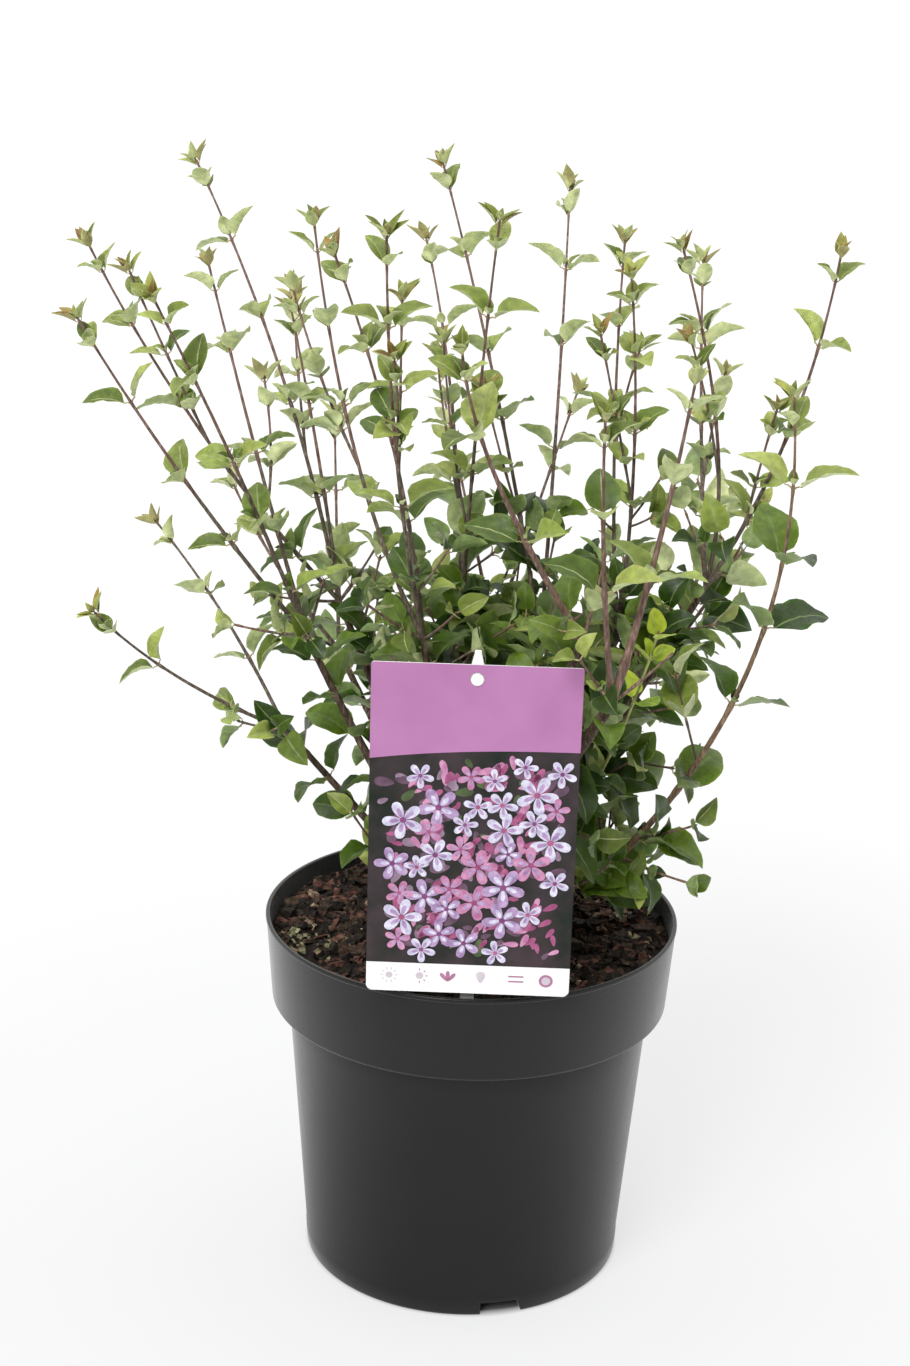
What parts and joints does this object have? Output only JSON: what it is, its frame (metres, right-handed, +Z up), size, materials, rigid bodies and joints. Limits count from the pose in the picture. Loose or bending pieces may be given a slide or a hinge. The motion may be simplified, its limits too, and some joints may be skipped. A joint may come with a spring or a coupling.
{
  "type": "potted dwarf lilac bush",
  "caption": "Dwarf lilac shrub in leaf, growing from a short woody crown in a round black nursery pot, with a plant label on a stick.",
  "frame": {"origin": "middle of the pot's flat underside, at the level the pot stands on", "axes": "+Z up along the pot's axis, -Y towards the side that the plant label faces, +X to the right of that side"},
  "size_m": [0.3399, 0.3094, 0.5119],
  "materials": {
    "pot": "satin",
    "soil": "matte",
    "bark": "matte",
    "leaf": "satin",
    "label": "satin",
    "stick": "satin"
  },
  "bodies": {
    "root": {"pot": "pot", "soil": "soil", "label_card": "label", "label_stick": "stick", "crown": "bark", "bough_left_low": "bark", "bough_left_high": "bark", "bough_mid_left": "bark", "bough_middle": "bark", "bough_tall": "bark", "bough_front_mid": "bark", "bough_front_right": "bark", "bough_right_back": "bark", "bough_right": "bark", "bough_far_right": "bark", "bough_low_left": "bark", "bough_back_left": "bark", "bough_back": "bark", "bough_back_right": "bark", "leaves_left_low": "leaf", "leaves_left_high": "leaf", "leaves_mid_left": "leaf", "leaves_middle": "leaf", "leaves_tall": "leaf", "leaves_front_mid": "leaf", "leaves_front_right": "leaf", "leaves_right_back": "leaf", "leaves_right": "leaf", "leaves_far_right": "leaf", "leaves_low_left": "leaf", "leaves_back_left": "leaf", "leaves_back": "leaf", "leaves_back_right": "leaf", "leaves_low_front_left": "leaf", "leaves_low_front_right": "leaf", "leaves_low_right_young": "leaf", "leaves_inner_front": "leaf", "leaves_inner_back": "leaf", "leaves_inner_left": "leaf", "leaves_inner_right": "leaf", "leaves_centre_left": "leaf", "leaves_centre_right": "leaf", "leaves_centre_back": "leaf"}
  },
  "joints": []
}
